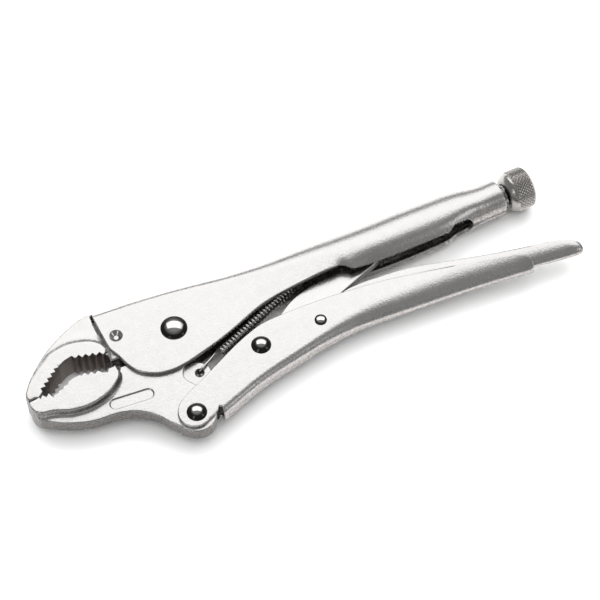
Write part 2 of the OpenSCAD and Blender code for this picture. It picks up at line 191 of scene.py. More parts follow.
def distance(points, line):
    """How far each point is from an open line."""
    a, d = line[:-1], np.diff(line, axis=0)
    rel = points[:, None] - a
    t = np.clip((rel * d).sum(2) / np.maximum((d * d).sum(1), 1e-9), 0, 1)
    return np.linalg.norm(rel - t[..., None] * d, axis=2).min(1)


def inside(points, polygon):
    """Which of the points are inside a closed outline."""
    a, b = polygon, np.roll(polygon, -1, axis=0)
    y = points[:, 1, None]
    crosses = (a[:, 1] > y) != (b[:, 1] > y)
    rise = np.where(b[:, 1] == a[:, 1], 1e-9, b[:, 1] - a[:, 1])
    x = a[:, 0] + (y - a[:, 1]) / rise * (b[:, 0] - a[:, 0])
    return (crosses & (points[:, 0, None] < x)).sum(1) % 2 == 1


def teeth(a, b, count, depth, lean):
    """Saw teeth along the line from a to b; lean moves each point along its own tooth."""
    a, b = np.array(a, float), np.array(b, float)
    step = (b - a) / count
    across = depth * np.array([step[1], -step[0]]) / np.linalg.norm(step)
    return [p for i in range(count) for p in (a + i * step, a + (i + lean) * step + across)]


# ---- Meshes -------------------------------------------------------------------------------


def border(faces):
    """Directed edges that only one face has."""
    edges = {(f[k], f[(k + 1) % len(f)]) for f in faces for k in range(len(f))}
    return sorted(e for e in edges if (e[1], e[0]) not in edges)


def face_normals(verts, faces):
    """The outward direction at each point, from the faces round it."""
    f = np.array([list(q) + [q[-1]] * (4 - len(q)) for q in faces])
    n = np.cross(verts[f[:, 2]] - verts[f[:, 0]], verts[f[:, 3]] - verts[f[:, 1]])
    total = np.zeros_like(verts)
    for k in range(4):
        np.add.at(total, f[:, k], n)
    return unit(total)


def grid_faces(columns, rows, there=None):
    """Quads of a grid whose points are numbered column by column."""
    faces = []
    for i in range(columns - 1):
        for j in range(rows - 1):
            q = (i * rows + j, i * rows + j + 1, (i + 1) * rows + j + 1, (i + 1) * rows + j)
            if there is None or all(there[k] for k in q):
                faces.append(q)
    return faces


def thicken(verts, faces, thickness, edge_r, steps=3):
    """A sheet of that thickness under a surface, with its free edges rounded.

    The third result is the number of faces on the free edges, which come last.
    """
    edges = border(faces)
    normals = face_normals(verts, faces)
    push = {}
    for i, j in edges:
        n = unit(np.cross(verts[j] - verts[i], normals[i] + normals[j]))
        push.setdefault(i, []).append(n)
        push.setdefault(j, []).append(n)
    rim = sorted(push)
    out = {i: unit(push[i][0] + push[i][-1]) for i in rim}
    out = {i: out[i] / max(0.6, float(out[i] @ push[i][0])) for i in rim}
    top = verts.copy()
    for i in rim:
        top[i] -= out[i] * edge_r
    count = len(verts)
    points = [top, top - normals * thickness]
    turns = np.radians(np.linspace(0, 90, steps + 1))[1:]
    ring = {i: [i] for i in rim}
    for k, i in enumerate(rim):
        base, n, d = top[i], normals[i], out[i]
        over = [base - n * edge_r * (1 - math.cos(a)) + d * edge_r * math.sin(a) for a in turns]
        under = [
            base - n * (thickness - edge_r * (1 - math.cos(a))) + d * edge_r * math.sin(a)
            for a in turns[::-1]
        ]
        points.append(np.array(over + under))
        first = 2 * count + k * 2 * steps
        ring[i] += list(range(first, first + 2 * steps)) + [count + i]
    sides = [
        (ring[j][k], ring[i][k], ring[i][k + 1], ring[j][k + 1])
        for i, j in edges
        for k in range(2 * steps + 1)
    ]
    below = [tuple(count + k for k in reversed(f)) for f in faces]
    return np.vstack(points), [tuple(f) for f in faces] + below + sides, len(sides)


def compact(verts, faces):
    """Only the points that a face uses."""
    used = sorted({k for f in faces for k in f})
    number = {k: n for n, k in enumerate(used)}
    return verts[used], [tuple(number[k] for k in f) for f in faces]


def joined(loops):
    """The points of closed outlines, one after another, and the edges between them."""
    points, edges = [], []
    for loop in loops:
        first = len(points)
        points += [tuple(p) for p in loop]
        edges += [(first + i, first + (i + 1) % len(loop)) for i in range(len(loop))]
    return points, edges


def delaunay(points, edges):
    """Points, triangles and the triangles' middles of a triangulation with those edges."""
    made = delaunay_2d_cdt([Vector(p) for p in points], edges, [], 0, 1e-4)
    verts = np.array([tuple(v) for v in made[0]])
    tris = np.array([tuple(f) for f in made[2]])
    return verts, tris, verts[tris].mean(1)


def triangulate(loops, lines, spacing):
    """Triangles inside loops[0] and outside the other loops, with the lines as edges."""
    points, edges = joined(loops)
    for line in lines:
        first = len(points)
        points += [tuple(p) for p in line]
        edges += [(first + i, first + i + 1) for i in range(len(line) - 1)]
    low, high = loops[0].min(0), loops[0].max(0)
    xs = np.arange(low[0] + 0.37, high[0], spacing)
    ys = np.arange(low[1] + 0.31, high[1], spacing)
    extra = np.array([(x, y) for x in xs for y in ys])
    keep = inside(extra, loops[0])
    for loop in loops:
        keep &= distance(extra, np.vstack([loop, loop[:1]])) > 0.5 * spacing
    for line in lines:
        keep &= distance(extra, line) > 0.4 * spacing
    points += [tuple(p) for p in extra[keep]]
    verts, tris, middle = delaunay(points, edges)
    keep = inside(middle, loops[0])
    for loop in loops[1:]:
        keep &= ~inside(middle, loop)
    return verts, [tuple(int(k) for k in f) for f in tris[keep]]


def union(polygons):
    """The outline round overlapping polygons, anticlockwise."""
    verts, tris, middle = delaunay(*joined(polygons))
    keep = np.zeros(len(tris), bool)
    for polygon in polygons:
        keep |= inside(middle, np.asarray(polygon, float))
    after = dict(border([tuple(int(k) for k in f) for f in tris[keep]]))
    loops = []
    while after:
        start = min(after)
        loop, k = [], start
        while k in after:
            loop.append(k)
            k = after.pop(k)
        loops.append(loop)
    return verts[max(loops, key=len)]


def forged(outline, height, radius, lines=(), holes=(), spacing=1.6, steps=4):
    """A plate that is the same on both sides of the middle plane, with rounded edges.

    height gives the half thickness at points of the side view, radius the edge's rounding.
    The mesh has edges along the lines, so that a step in height can be sharp there.
    """
    loops = []
    for k, loop in enumerate([outline, *holes]):
        area = (loop[:, 0] * np.roll(loop[:, 1], -1) - loop[:, 1] * np.roll(loop[:, 0], -1)).sum()
        if (area > 0) == (k > 0):
            loop = loop[::-1]
        push = outward(loop)
        loops.append(loop - push * radius(loop)[:, None])
    flat, tris = triangulate(loops, lines, spacing)
    flat, tris = compact(flat, tris)
    a = flat[np.array(tris)]
    turned = np.cross(a[:, 1] - a[:, 0], a[:, 2] - a[:, 0]) < 0
    tris = [t[::-1] if flip else t for t, flip in zip(tris, turned)]
    half = height(flat)
    count = len(flat)
    top = np.column_stack([flat, half])
    points = [top, top * [1, 1, -1]]
    edges = border(tris)
    after, before = dict(edges), {j: i for i, j in edges}
    r = radius(flat)
    turns = np.radians(np.linspace(0, 90, steps + 1))[1:]
    ring = {}
    for k, i in enumerate(sorted(after)):
        e1, e2 = unit(flat[i] - flat[before[i]]), unit(flat[after[i]] - flat[i])
        n1, n2 = np.array([e1[1], -e1[0]]), np.array([e2[1], -e2[0]])
        d = unit(n1 + n2)
        d = d / max(0.5, float(d @ n1))
        over = [
            (*(flat[i] + d * r[i] * math.sin(a)), half[i] - r[i] * (1 - math.cos(a)))
            for a in turns
        ]
        points.append(np.array(over + [(x, y, -z) for x, y, z in over[::-1]]))
        first = 2 * count + k * 2 * steps
        ring[i] = [i, *range(first, first + 2 * steps), count + i]
    sides = [
        (ring[j][k], ring[i][k], ring[i][k + 1], ring[j][k + 1])
        for i, j in edges
        for k in range(2 * steps + 1)
    ]
    below = [tuple(count + k for k in reversed(t)) for t in tris]
    return np.vstack(points), tris + below + sides


def turned(at, profile, segments=64):
    """A solid turned about Z from [radius, z] pairs, closed where the radius is 0."""
    verts, rings = [], []
    for r, x in profile:
        if r < 1e-6:
            rings.append([len(verts)] * segments)
            verts.append((0, 0, x))
            continue
        rings.append(list(range(len(verts), len(verts) + segments)))
        for k in range(segments):
            a = 2 * math.pi * k / segments
            verts.append((r * math.cos(a), r * math.sin(a), x))
    return np.array(verts) + [*at, 0], ring_faces(rings)


def ring_faces(rings):
    """Quads between rings of points, or triangles where a ring is one point."""
    faces = []
    for a, b in zip(rings, rings[1:]):
        n = len(a)
        for k in range(n):
            face = [a[k], a[(k + 1) % n], b[(k + 1) % n], b[k]]
            face = [v for i, v in enumerate(face) if v != face[i - 1]]
            if len(set(face)) > 2:
                faces.append(tuple(face))
    return faces


def tube(path, r, sides=10):
    """A round wire along a line of points, with rounded ends."""
    path = np.asarray(path, float)
    tangent = unit(np.gradient(path, axis=0))
    side = unit(np.cross(tangent[0], [0.3, 0.2, 1.0]))
    verts, rings = [], []
    for i, (p, t) in enumerate(zip(path, tangent)):
        side = unit(side - t * (side @ t))
        up = np.cross(t, side)
        rings.append(list(range(len(verts), len(verts) + sides)))
        for k in range(sides):
            a = 2 * math.pi * k / sides
            verts.append(p + r * (math.cos(a) * side + math.sin(a) * up))
    for end, t, ring in ((path[0], -tangent[0], rings[0]), (path[-1], tangent[-1], rings[-1])):
        tip = len(verts)
        verts.append(end + t * r * 0.7)
        rings.insert(0 if ring is rings[0] else len(rings), [tip] * sides)
    return np.array(verts), ring_faces(rings)


def drilled(mesh, at, r):
    """The mesh with a round hole along Z through it."""
    reach = 20
    verts, faces = turned(at, [(0, -reach), (r, -reach), (r, reach), (0, reach)], 48)
    drill_mesh = bpy.data.meshes.new("drill")
    drill_mesh.from_pydata(place(verts).tolist(), [], [list(f) for f in faces])
    whole, drill = bpy.data.objects.new("whole", mesh), bpy.data.objects.new("drill", drill_mesh)
    for obj in (whole, drill):
        bpy.context.scene.collection.objects.link(obj)
    cut = whole.modifiers.new("hole", "BOOLEAN")
    cut.object, cut.operation, cut.solver = drill, "DIFFERENCE", "EXACT"
    made = bpy.data.meshes.new_from_object(
        whole.evaluated_get(bpy.context.evaluated_depsgraph_get()))
    for obj in (whole, drill):
        bpy.data.objects.remove(obj)
    bpy.data.meshes.remove(drill_mesh)
    return made


def add(name, verts, faces, material, body, slot, replaces=(), sharp=40.0, ride=True,
        other=None, second=None, hole=None):
    """A piece of the model, which rides on a body unless ride is off.

    Its faces marked in other get the second material; hole is the place and radius of a hole.
    """
    mesh = bpy.data.meshes.new(name)
    mesh.from_pydata(place(verts).tolist(), [], [list(f) for f in faces])
    if second:
        mesh.polygons.foreach_set("material_index", np.asarray(other).astype(np.int32))
    work = bmesh.new()
    work.from_mesh(mesh)
    bmesh.ops.remove_doubles(work, verts=work.verts, dist=2e-7)
    bmesh.ops.recalc_face_normals(work, faces=work.faces)
    work.to_mesh(mesh)
    work.free()
    if hole:
        mesh = drilled(mesh, *hole)
        mesh.name = name
    for polygon in mesh.polygons:
        polygon.use_smooth = True
    mesh.set_sharp_from_angle(angle=math.radians(sharp))
    mesh.materials.clear()
    mesh.materials.append(material)
    if second:
        mesh.materials.append(second)
    obj = bpy.data.objects.new(name, mesh)
    bpy.context.scene.collection.objects.link(obj)
    even_faces = obj.modifiers.new("flat faces", "WEIGHTED_NORMAL")
    even_faces.keep_sharp = True
    if ride:
        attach(obj, body)
    if replaces:
        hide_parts(*replaces)
    return obj


# ---- Materials ----------------------------------------------------------------------------


class Nodes:
    """A short way to add nodes to a material and join them."""

    def __init__(self, name):
        self.material = bpy.data.materials.new(name)
        self.material.use_nodes = True
        self.tree = self.material.node_tree
        self.shader = self.tree.nodes["Principled BSDF"]
        self.coords = self.add("ShaderNodeTexCoord")

    def add(self, kind, inputs=None, **settings):
        node = self.tree.nodes.new(kind)
        for key, value in settings.items():
            setattr(node, key, value)
        for key, value in (inputs or {}).items():
            if isinstance(value, bpy.types.NodeSocket):
                self.tree.links.new(value, node.inputs[key])
            else:
                node.inputs[key].default_value = value
        return node

    def noise(self, size_mm, detail=2.0, stretch=None, rough=0.5):
        """Noise whose patches are about size_mm wide."""
        vector = self.coords.outputs["Object"]
        if stretch:
            vector = self.add("ShaderNodeMapping", {"Vector": vector, "Scale": stretch}).outputs[0]
        values = {"Vector": vector, "Scale": 1 / (size_mm * MM), "Detail": detail,
                  "Roughness": rough}
        return self.add("ShaderNodeTexNoise", values).outputs[0]

    def flatness(self):
        """1 where the surface faces along the thickness, 0 on an upright flank."""
        across = self.add("ShaderNodeSeparateXYZ", {0: self.coords.outputs["Normal"]}).outputs[2]
        return self.maths("ABSOLUTE", across, 0.0)

    def ranged(self, value, low, high, from_low=0.0, from_high=1.0):
        """The value, moved from one range to the range low to high."""
        values = {"Value": value, "From Min": from_low, "From Max": from_high,
                  "To Min": low, "To Max": high}
        return self.add("ShaderNodeMapRange", values).outputs[0]

    def maths(self, operation, a, b):
        return self.add("ShaderNodeMath", {0: a, 1: b}, operation=operation).outputs[0]

    def mixed(self, factor, a, b, blend_type="MIX"):
        """A mix of two colours, each a socket or a constant."""
        node = self.add("ShaderNodeMix", {0: factor}, data_type="RGBA", blend_type=blend_type)
        for socket, value in ((node.inputs[6], a), (node.inputs[7], b)):
            if isinstance(value, bpy.types.NodeSocket):
                self.tree.links.new(value, socket)
            else:
                socket.default_value = (*value, 1)
        return node.outputs[2]

    def feed(self, socket, value):
        """Sets an input of the shader, or links it."""
        if isinstance(value, bpy.types.NodeSocket):
            self.tree.links.new(value, self.shader.inputs[socket])
        else:
            self.shader.inputs[socket].default_value = value

    def bump(self, height, depth_mm, strength=1.0, under=None):
        values = {"Height": height, "Distance": depth_mm * MM, "Strength": strength}
        if under is not None:
            values["Normal"] = under
        return self.add("ShaderNodeBump", values).outputs[0]


def plated(name, colour, shaded_flank_colour, roughness, grain_mm, grain_depth, scratches=0.02,
           blotches=0.025):
    """Plated steel: pebbled grain, faint scratches, and painted shade that darkens the upright
    flanks.
    """
    n = Nodes(name)
    n.feed("Metallic", 1.0)
    flat = n.ranged(n.flatness(), 0.0, 1.1, 0.3, 0.985)
    patches = n.noise(14, 3.0)
    flat = n.maths("ADD", flat, n.ranged(patches, -0.06, 0.06, 0.3, 0.7))
    speck = n.ranged(n.noise(grain_mm, 2.0), 0.0, 1.0, 0.34, 0.66)
    # Painted shade: faces that turn away from the thickness take the darker flank colour, speckled
    # with grain
    side = n.mixed(speck, tuple(c * 0.66 for c in shaded_flank_colour),
                   tuple(c * 1.18 for c in shaded_flank_colour))
    tone = n.mixed(flat, side, colour)
    cloud = n.ranged(n.noise(5, 4.0), 1 - blotches, 1 + blotches * 0.4, 0.3, 0.7)
    grey = n.add("ShaderNodeCombineColor", {0: cloud, 1: cloud, 2: cloud}).outputs[0]
    n.feed("Base Color", n.mixed(1.0, tone, grey, "MULTIPLY"))
    pebbles = n.noise(grain_mm, 2.0, rough=0.6)
    streaks = n.noise(0.5, 2.0, stretch=(0.06, 1.0, 1.0))
    rough = n.ranged(n.noise(3, 3.0), roughness * 0.94, roughness * 1.08, 0.3, 0.7)
    worn = n.ranged(streaks, 0.0, scratches * 4, 0.62, 0.8)
    n.feed("Roughness", n.maths("ADD", rough, worn))
    fine = n.bump(streaks, 0.02 * scratches * 10, 0.3)
    n.feed("Normal", n.bump(pebbles, grain_depth, 0.8, under=fine))
    return n.material


def chrome(name, colour, roughness, shaded=1.0):
    """Mirror plating with faint orange peel and hairline marks; shaded scales the colour on a
    dome's slopes, a painted dark reflection ring.
    """
    n = Nodes(name)
    n.feed("Metallic", 1.0)
    tone = n.mixed(n.ranged(n.noise(2.5, 3.0), 0.0, 1.0, 0.35, 0.65),
                   tuple(c * 0.93 for c in colour), colour)
    # Painted reflection: away from the flat crown the colour is scaled by shaded, painting the
    # dark ring a dome reflects
    crown = n.ranged(n.flatness(), 0.0, 1.0, 0.87, 0.96)
    n.feed("Base Color", n.mixed(crown, tuple(c * shaded for c in colour), tone))
    hair = n.noise(0.35, 1.0, stretch=(0.1, 1.0, 1.0))
    spots = n.ranged(n.noise(0.9, 2.0), roughness * 0.7, roughness * 1.6, 0.35, 0.7)
    n.feed("Roughness", n.maths("ADD", spots, n.ranged(hair, 0.0, 0.06, 0.66, 0.8)))
    n.feed("Normal", n.bump(n.noise(1.6, 2.0), 0.008, 0.5))
    return n.material


# Name, colour on the flats, colour on the flanks (darker, as painted shade), roughness, width and
# depth of the grain in mm
HANDLE = plated("satin plated sheet", (0.66, 0.65, 0.64), (0.50, 0.475, 0.46), 0.27, 0.85, 0.10,
                scratches=0.008)
# Painted shade: the sheet's cut rims are near black, standing in for the shade along the edges
SHADED_RIM = plated("sheared sheet edge", (0.16, 0.15, 0.145), (0.06, 0.055, 0.052), 0.4, 0.5, 0.03)
FORGED = plated("plated forging", (0.66, 0.65, 0.64), (0.19, 0.178, 0.172), 0.27, 0.9, 0.09)
LINK = plated("plated link", (0.66, 0.65, 0.64), (0.20, 0.19, 0.18), 0.22, 0.9, 0.04)
GRIP = plated("hardened grip", (0.36, 0.31, 0.29), (0.30, 0.26, 0.24), 0.45, 0.5, 0.05)
# Painted reflection: the rivet domes' slopes are coloured near black
RIVET = chrome("chromed rivet", (0.80, 0.79, 0.78), 0.09, shaded=0.06)
PIN = chrome("punched pin", (0.50, 0.49, 0.48), 0.16)
SCREW = plated("blackened screw", (0.62, 0.60, 0.58), (0.56, 0.54, 0.52), 0.24, 0.3, 0.01)
KNOB = plated("nickel knob", (0.56, 0.54, 0.52), (0.50, 0.48, 0.46), 0.24, 0.3, 0.012)
# Painted shade: the knurl's sunken faces are near black
GROOVE_SHADE = plated("knurl groove", (0.07, 0.066, 0.064), (0.06, 0.056, 0.054), 0.4, 0.3, 0.01)
SPRING = plated("spring wire", (0.72, 0.70, 0.68), (0.66, 0.64, 0.62), 0.22, 0.3, 0.008)

# ---- Folded sheet parts -------------------------------------------------------------------

LIP_ROWS, CREST_ROWS = 10, 12

# [x, crest y, belly y, half width, corner across Z, lip y, half gap at the lips]
UPPER = np.array([
    [-30, 23.6, 19.6, 5.5, 4.6, 12, 5.5], [-25.2, 23.2, 19.2, 5.5, 4.6, -8.6, 5.5],
    [-19.5, 22.8, 18.8, 5.5, 4.6, -15.4, 5.5], [-15, 22.5, 18.5, 5.5, 4.6, -17.7, 5.5],
    [-9, 22, 18, 5.5, 4.7, -18.8, 5.5], [-2, 21.3, 17.3, 5.5, 4.7, -18.3, 5.5],
    [6, 20.4, 16.2, 5.5, 4.8, -16.5, 5.5], [14, 19.3, 14.9, 5.5, 4.8, -14.5, 5.5],
    [22, 18.1, 13.4, 5.5, 4.9, -12, 5.5], [30, 16.9, 12, 5.5, 5, -9.1, 5.5],
    [38, 16, 10.5, 5.7, 5.2, -6.4, 5.7], [46, 15.4, 9, 6.1, 5.6, -4.9, 6.1],
    [54, 15.1, 7.5, 6.6, 6.1, -4.2, 6.6], [62, 15, 6.1, 7.2, 6.7, -3.8, 7.1],
    [70, 14.8, 4.8, 7.9, 7.4, -3.5, 7.7], [76, 14.6, 4, 8.3, 7.8, -3.6, 7.9],
    [80, 14.4, 3.5, 8.5, 8, -4, 7.2], [81.5, 14.3, 3.3, 8.6, 8.1, -5, 6.8],
    [83, 14.2, 3.1, 8.7, 8.2, -6.8, 6.3], [86, 14.1, 2.8, 8.9, 8.4, -7.4, 5.7],
    [92, 13.9, 2.3, 9.1, 8.6, -7.8, 5], [100, 13.7, 1.9, 9.4, 8.9, -8.2, 5],
    [112, 13.7, 1.9, 9.6, 9.1, -8.4, 5], [124, 13.4, 1.9, 9.6, 9.1, -8.3, 5],
    [134, 13.1, 1.9, 9.5, 9, -8, 4.7], [140, 12.8, 1.9, 9.4, 8.9, -7.6, 3.4],
    [145, 12.3, 1.9, 9.1, 8.6, -7.1, 1.2], [149, 11.4, 1.9, 8.7, 8.2, -6.7, 0.3],
    [153, 10.4, 1.9, 8.4, 7.9, -6.5, 0.3], [163, 10.3, 1.9, 8.35, 7.85, -6.45, 0.3]])
# The cheek's front end, which stands upright, down to where its lip runs back
UPPER_FRONT = [[-30, 12], [-29.3, 2.6], [-27.4, -2], [-25.2, -8.6], [-23, -12.4],
               [-19.5, -15.4], [-15, -17.7], [-9, -18.8], [-2, -18.3], [6, -16.5]]
NOTCH, NOTCH_R = (140, -16.5), 11.0
UPPER_SHEET, UPPER_EDGE_R = 2.0, 0.5


def upper_handle():
    """The shell: two flat cheeks at the front, rolled into a tube at the back."""
    front = smooth_line(UPPER_FRONT, 1.0)
    slot = np.concatenate([np.arange(7.2, 78, 1.3), np.arange(78.2, 90, 0.6),
                           np.arange(90.4, 133.2, 1.3)])
    slot_lip = np.stack([slot, column(UPPER, 5, slot, 0.7)], axis=1)
    notch = arc(NOTCH, NOTCH_R, 126, 54, 26)
    tail = np.arange(147.0, 163.1, 0.8)
    tube_lip = np.stack([tail, column(UPPER, 5, tail, 1.0)], axis=1)
    edge = np.vstack([front, slot_lip, notch, tube_lip])

    # Columns lean at the front, so that the first one lies along the upright front edge
    s = np.concatenate([[0], np.cumsum(np.linalg.norm(np.diff(edge, axis=0), axis=1))])
    crest_start, upright_from = UPPER[0, 0], -2.0
    meet = np.argmax(edge[:, 0] > upright_from)
    crest_x = np.where(np.arange(len(edge)) < meet,
                       crest_start + (edge[meet, 0] - crest_start) * s / s[meet], edge[:, 0])
    crest, belly, half, corner, gap = (column(UPPER, k, crest_x, 2.0) for k in (1, 2, 3, 4, 6))

    # The side goes down as part of an ellipse: 64 degrees of it, and 90 where the tube is closed
    lip_angle = np.radians(64 + 26 * np.clip((edge[:, 0] - NOTCH[0]) / 10, 0, 1))
    gap = np.clip(gap, 0.3, half)
    behind_front = np.arange(len(edge)) >= len(front)
    base_lip = np.where(behind_front, column(UPPER, 5, edge[:, 0], 0.7), edge[:, 1])
    share = np.clip((edge[:, 1] - belly) / (base_lip - belly), 0, 1)
    last = np.arcsin(share * np.sin(lip_angle))
    columns = []
    for i in range(len(edge)):
        rows = []
        for t in np.linspace(1, 0, LIP_ROWS, endpoint=False):
            a = last[i] * t
            down = (base_lip[i] - belly[i]) * math.sin(a) / math.sin(lip_angle[i])
            turn = ((1 - math.cos(a)) / (1 - math.cos(lip_angle[i]))) ** 1.2
            x = crest_x[i] + (edge[i, 0] - crest_x[i]) * math.sin(a) / math.sin(last[i])
            rows.append((x, belly[i] + down, half[i] - (half[i] - gap[i]) * turn))
        for a in np.linspace(0, math.pi / 2, CREST_ROWS):
            rows.append((crest_x[i], belly[i] + (crest[i] - belly[i]) * math.sin(a),
                         half[i] - corner[i] + corner[i] * math.cos(a)))
        columns.append(rows + [(x, y, -z) for x, y, z in rows[::-1]])
    verts = np.array(columns).reshape(-1, 3)
    faces = grid_faces(len(columns), len(columns[0]))
    return thicken(verts, outward_faces(verts, faces, (60, 4, 0)), UPPER_SHEET, UPPER_EDGE_R)


def outward_faces(verts, faces, middle):
    """The same faces, wound so that most of them face away from middle."""
    normals = face_normals(verts, faces)
    if ((verts - np.array(middle)) * normals).sum() < 0:
        return [f[::-1] for f in faces]
    return faces


# [x, crest, lip, height of the fold, width of the fold, half width], below the main pivot
LOWER = np.array([
    [2.5, 47.6, 27.6, 3.6, 3.4, 5.1], [10, 45.1, 24.1, 3.6, 3.4, 5.1],
    [16, 43.1, 21.3, 3.6, 3.4, 5.1], [22, 41.2, 18.7, 3.6, 3.5, 5.1],
    [28, 39.7, 16.5, 3.6, 3.6, 5.1], [34, 38.5, 14.7, 3.7, 3.7, 5.1],
    [43, 37, 14, 3.9, 3.8, 5.1], [54, 35, 14.1, 4.4, 3.9, 5.1],
    [64, 33.8, 14.6, 5.4, 4.1, 5.1], [74, 33.3, 15.4, 6.8, 4.4, 5.1],
    [84, 33.7, 16.5, 8.4, 4.6, 5.1], [94, 34.4, 17.9, 9.2, 4.7, 5.1],
    [104, 35.1, 19.9, 10.2, 4.9, 5.1], [114, 35.8, 22, 10.9, 5, 5.1],
    [124, 36.5, 24.4, 11.4, 5, 5.1], [134, 37.5, 26.8, 11.6, 5, 5.1],
    [144, 38.6, 29.3, 11.6, 5, 5.1], [151, 39.5, 31.2, 11, 5, 5.1],
    [154.5, 40, 32.3, 10.2, 5, 5.1], [157, 40.3, 34.4, 8, 5, 5.1],
    [158.4, 40.1, 36, 6, 5, 5.1]])
LEVER = np.array([
    [64, 32, 19.2, 3.8, 2.7, 3.5], [69, 31.7, 16.6, 4.3, 2.8, 3.5],
    [76, 31.5, 14.3, 5.2, 3, 3.5], [84, 31.9, 13.8, 6.3, 3.1, 3.5],
    [93, 32.5, 14.4, 6.8, 3.2, 3.5], [103, 33.2, 15.4, 8.5, 3.3, 3.5],
    [112, 33.8, 17.1, 9.2, 3.4, 3.5], [121, 34.5, 19.5, 9.6, 3.4, 3.5],
    [130, 35.2, 21.9, 9.7, 3.4, 3.5], [139, 36.2, 24.3, 9.8, 3.4, 3.5],
    [148, 37.2, 26.5, 9.6, 3.4, 3.5], [157, 38.1, 28.6, 9, 3.4, 3.5],
    [166, 39.3, 30.3, 8.4, 3.4, 3.5], [175, 40.7, 32.3, 7.6, 3.4, 3.5],
    [179, 41.2, 33.8, 6, 3.3, 3.4], [181.5, 41.3, 35.2, 4.4, 2.9, 3],
    [183, 41, 36.6, 3.4, 2.3, 2.4], [183.6, 40.5, 37.6, 2.4, 1.8, 1.9]])


def channel(table, ear_top, ear_bottom, sheet, edge_r, ear_columns):
    """A channel open towards +Y, whose walls run on at the front as ears with no fold."""
    x = np.concatenate([np.arange(table[0, 0], table[-4, 0], 1.4),
                        np.linspace(table[-4, 0], table[-1, 0], 12)])
    tail = np.clip((x - table[-4, 0] + 4) / 4, 0, 1)
    depth = column(table, 1, x, 3.0) * (1 - tail) + column(table, 1, x, 0.5) * tail
    crest, lip = -depth, -column(table, 2, x, 0.8)
    fold, corner, half = (column(table, k, x, 0.8) for k in (3, 4, 5))
    belly = np.minimum(crest + fold, lip - 0.3)

    def width(k, y):
        drop = np.clip((crest[k] + fold[k] - y) / fold[k], 0, 1)
        return half[k] - corner[k] + corner[k] * math.sqrt(1 - drop * drop)

    top = np.vstack([even(ear_top, ear_columns)[:-1], np.stack([x, lip], axis=1)])
    bottom = np.vstack([even(ear_bottom, ear_columns)[:-1], np.stack([x, belly], axis=1)])
    verts, there = [], []
    for i in range(len(top)):
        folded = i - (ear_columns - 1)
        k = max(folded, 0)
        rows = []
        for t in np.linspace(0, 1, LIP_ROWS + 1):
            x_at, y_at = top[i] + (bottom[i] - top[i]) * t
            rows.append((x_at, y_at, width(k, y_at) if folded >= 0 else half[0], True))
        start = math.asin(np.clip((crest[k] + fold[k] - belly[k]) / fold[k], 0, 1))
        for a in np.linspace(start, math.pi / 2, CREST_ROWS)[1:]:
            y_at = crest[k] + fold[k] * (1 - math.sin(a))
            rows.append((bottom[i, 0], y_at, width(k, y_at), folded >= 0))
        rows += [(a, b, -c, d) for a, b, c, d in rows[::-1]]
        verts += [r[:3] for r in rows]
        there += [r[3] for r in rows]
    faces = grid_faces(len(top), len(verts) // len(top), there)
    verts, faces = compact(np.array(verts), faces)
    faces = outward_faces(verts, faces, (80, -20, 0))
    return thicken(verts, faces, sheet, edge_r)


def lower_handle():
    """The channel that the hand squeezes, with round ears on the lower jaw's boss."""
    ear = (-9, -41.6)
    ear_top = np.vstack([arc(ear, 7.2, 177, 140, 8), [[-13.6, -35.6], [-10.9, -33.7],
                         [-6.6, -31.4], [-0.8, -29.1], [2.5, -27.6]]])
    ear_bottom = np.vstack([arc(ear, 7.2, 183, 307, 24), [[-1.6, -46.2], [0.8, -44.9],
                            [1.6, -43.4], [2.5, -44.0]]])
    return channel(LOWER, ear_top, ear_bottom, sheet=1.5, edge_r=0.4, ear_columns=26)


def release_lever():
    """The smaller channel inside the lower handle, whose tail sticks out behind."""
    ear_r = 4.6
    ear_top = np.vstack([arc(RELEASE_AT, ear_r, 175, 90, 8), [[64, -19.2]]])
    ear_bottom = np.vstack([arc(RELEASE_AT, ear_r, 185, 240, 8), [[60, -28.5], [64, -28.2]]])
    return channel(LEVER, ear_top, ear_bottom, sheet=1.2, edge_r=0.32, ear_columns=9)


# ---- Jaws and link ------------------------------------------------------------------------

TOOTH = 1.5
UPPER_GRIP = np.array(
    [[-31, 0]] + teeth([-31.4, 1.3], [-45.8, 5.6], 5, -TOOTH, 0.5)
    + [[-45.8, 5.6], [-49.5, 4.9], [-52.8, 3.4]]
    + teeth([-53, 4.6], [-66, -5], 6, -TOOTH, 0.35) + [[-66, -7]])
LOWER_GRIP = np.array(
    [[-66, -7.2]] + teeth([-65.9, -8.2], [-60.5, -8.8], 2, -TOOTH, 0.5)
    + teeth([-60.5, -10], [-50, -5.6], 4, -TOOTH / 2, 0.3) + [[-49.5, -4.8], [-46, -4.6]]
    + teeth([-45.8, -5.4], [-37.4, -7.8], 3, -TOOTH, 0.5)
    + [[-37, -7.7], [-34.8, -8.6], [-34, -7.2], [-31.4, -7.2], [-30.8, -6.6]])
DISC_R = 13.0  # the round hub of the lower jaw, which the upper jaw's tang clears
HEAD_HALF, WEB_HALF = 7.0, 3.4

# How the upper jaw's flat side falls away with distance from its head's edge
SLOPE_AT = [-0.5, -0.15, 0.1, 0.6, 1.6, 3.5, 6]
SLOPE_DROP = [0, 0.12, 0.45, 0.9, 1.3, 1.6, 1.8]
# How the step from a jaw's head down to its web falls away with distance from the head's edge
STEP_AT = [-0.7, -0.4, -0.15, 0.05, 0.3, 0.55, 0.9, 1.35, 1.9]
STEP_SHARE = [1.0, 0.985, 0.93, 0.80, 0.50, 0.27, 0.11, 0.03, 0.0]


